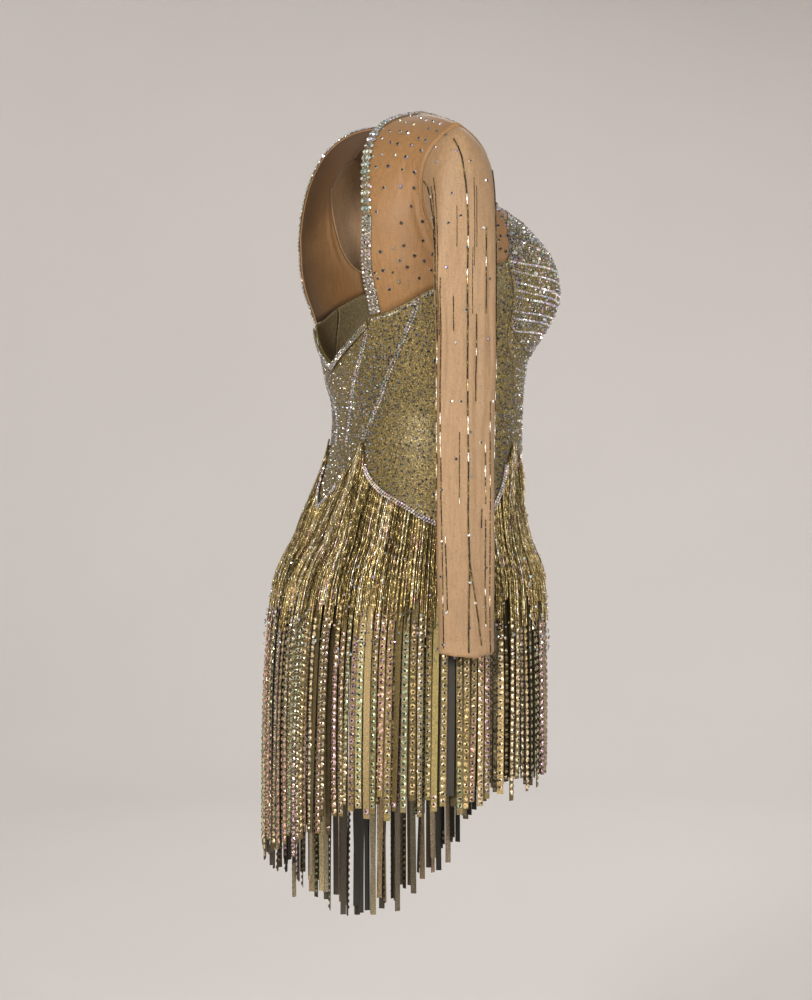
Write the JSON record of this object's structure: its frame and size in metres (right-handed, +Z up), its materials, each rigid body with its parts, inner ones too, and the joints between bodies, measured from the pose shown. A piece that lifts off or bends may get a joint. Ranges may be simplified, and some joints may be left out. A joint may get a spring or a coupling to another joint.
{
  "type": "latin dance dress",
  "caption": "Fitted hollow dance dress as worn, with rounded cups, a low open back, long mesh sleeves, a scalloped hip line and a slanting skirt of stone-set strips.",
  "frame": {"origin": "midway between the tops of the two shoulders, where the wearer holds the dress up", "axes": "+Z up, -Y out of the front, +X to the wearer's left"},
  "size_m": [0.4216, 0.2852, 0.8641],
  "materials": {
    "gold_lurex": "olive-gold metallic stretch cloth with a fine glittering grain and scattered stones",
    "strand_base": "gold stretch cloth covered by fine hanging bugle-bead strands",
    "skin_mesh": "matt skin-coloured stretch mesh, slightly sheer",
    "stone_band": "dense rows of small foiled glass stones with a rainbow coating",
    "gold_binding": "folded strip of the gold cloth",
    "strips": "flat gold strips, each with a close column of foiled glass stones"
  },
  "bodies": {
    "root": {"cup_right": "gold_lurex", "cup_left": "gold_lurex", "front_panel_right": "gold_lurex", "front_panel_left": "gold_lurex", "side_panel_right": "gold_lurex", "side_panel_left": "gold_lurex", "back_panel_right": "gold_lurex", "back_panel_left": "gold_lurex", "centre_back_panel": "gold_lurex", "hip_front": "strand_base", "hip_side_right": "strand_base", "hip_side_left": "strand_base", "hip_back": "strand_base", "front_yoke_right": "skin_mesh", "front_yoke_left": "skin_mesh", "back_yoke_right": "skin_mesh", "back_yoke_left": "skin_mesh", "sleeve_right": "skin_mesh", "sleeve_left": "skin_mesh", "back_trim_right": "stone_band", "back_trim_left": "stone_band", "front_trim_right": "stone_band", "front_trim_left": "stone_band", "neckline_trim_right": "stone_band", "neckline_trim_left": "stone_band", "back_binding": "gold_binding", "fringe_front": "strips", "fringe_right": "strips", "fringe_back": "strips", "fringe_left": "strips"}
  },
  "joints": []
}
